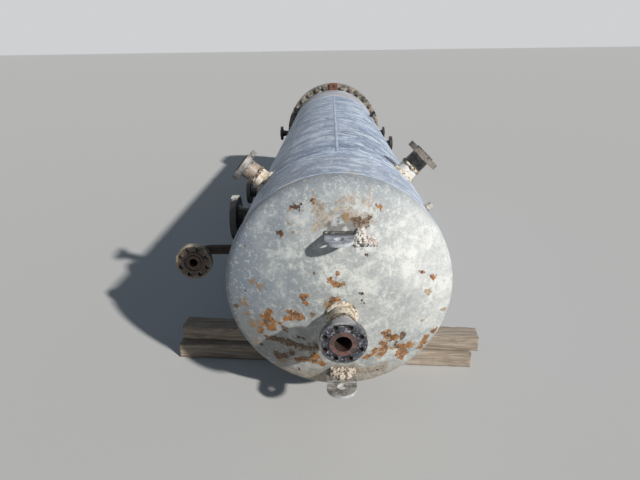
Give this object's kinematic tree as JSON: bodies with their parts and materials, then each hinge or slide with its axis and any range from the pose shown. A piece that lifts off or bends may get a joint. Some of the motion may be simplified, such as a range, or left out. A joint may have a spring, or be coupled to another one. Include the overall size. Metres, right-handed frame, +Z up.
{
  "type": "horizontal separator",
  "caption": "Horizontal pressure vessel with a dished head, flanged nozzles, lifting lugs and a full bore bolted closure, lying on crossed pairs of timber bearers",
  "frame": {"origin": "on the ground, under the vessel's axis, at the centreline of the lower front bearer", "axes": "+Y along the vessel from the dished head to the bolted closure, +Z up, +X to the right as seen from the head"},
  "size_m": [1.9584, 5.9087, 1.404],
  "materials": {
    "vessel_coating": "weathered bluish grey primer, streaked and mottled, with rust spots and scrapes",
    "weld_bead": "coated weld bead, slightly darker than the plate, rusting along its toes",
    "closure_forging": "coated forging, smooth, with grime round the bolting",
    "closure_bolting": "dull grey-brown studs and nuts with light rust",
    "gasket_ring": "dark compressed ring",
    "weathered_nozzle": "grey primer worn to steel, with brown rust on faces and edges",
    "rusted_elbow": "dark steel with orange surface rust",
    "rusted_lug": "bare plate with red-brown rust",
    "coated_lug": "grey primer with pale streaks",
    "crust": "cream-white lumpy hardened deposit",
    "bearer_timber": "weathered grey-brown sawn timber with open grain and splits"
  },
  "bodies": {
    "root": {"near_head": "vessel_coating", "first_course": "vessel_coating", "long_course": "vessel_coating", "far_course": "vessel_coating", "head_seam_weld": "weld_bead", "course_seam_weld": "weld_bead", "far_seam_weld": "weld_bead", "long_seam_weld": "weld_bead", "body_flange": "closure_forging", "closure_cover": "closure_forging", "closure_studs": "closure_bolting", "closure_gasket": "gasket_ring", "head_nozzle_neck": "weathered_nozzle", "head_nozzle_flange": "weathered_nozzle", "left_shoulder_neck": "weathered_nozzle", "left_shoulder_flange": "weathered_nozzle", "right_shoulder_neck": "weathered_nozzle", "right_shoulder_flange": "weathered_nozzle", "left_outlet_neck": "weathered_nozzle", "left_outlet_flange": "weathered_nozzle", "left_branch_neck": "weathered_nozzle", "left_branch_flange": "weathered_nozzle", "far_left_neck": "weathered_nozzle", "far_left_flange": "weathered_nozzle", "right_branch_neck": "weathered_nozzle", "right_branch_flange": "weathered_nozzle", "far_right_neck": "weathered_nozzle", "far_right_flange": "weathered_nozzle", "side_coupling": "weathered_nozzle", "far_nipple": "weathered_nozzle", "elbow_pipe": "rusted_elbow", "elbow_flange": "rusted_elbow", "closure_lug": "rusted_lug", "top_lug": "coated_lug", "bottom_lug": "coated_lug", "top_crust": "crust", "bottom_crust": "crust", "front_upper_bearer": "bearer_timber", "front_lower_bearer": "bearer_timber", "rear_upper_bearer": "bearer_timber", "rear_lower_bearer": "bearer_timber"}
  },
  "joints": []
}
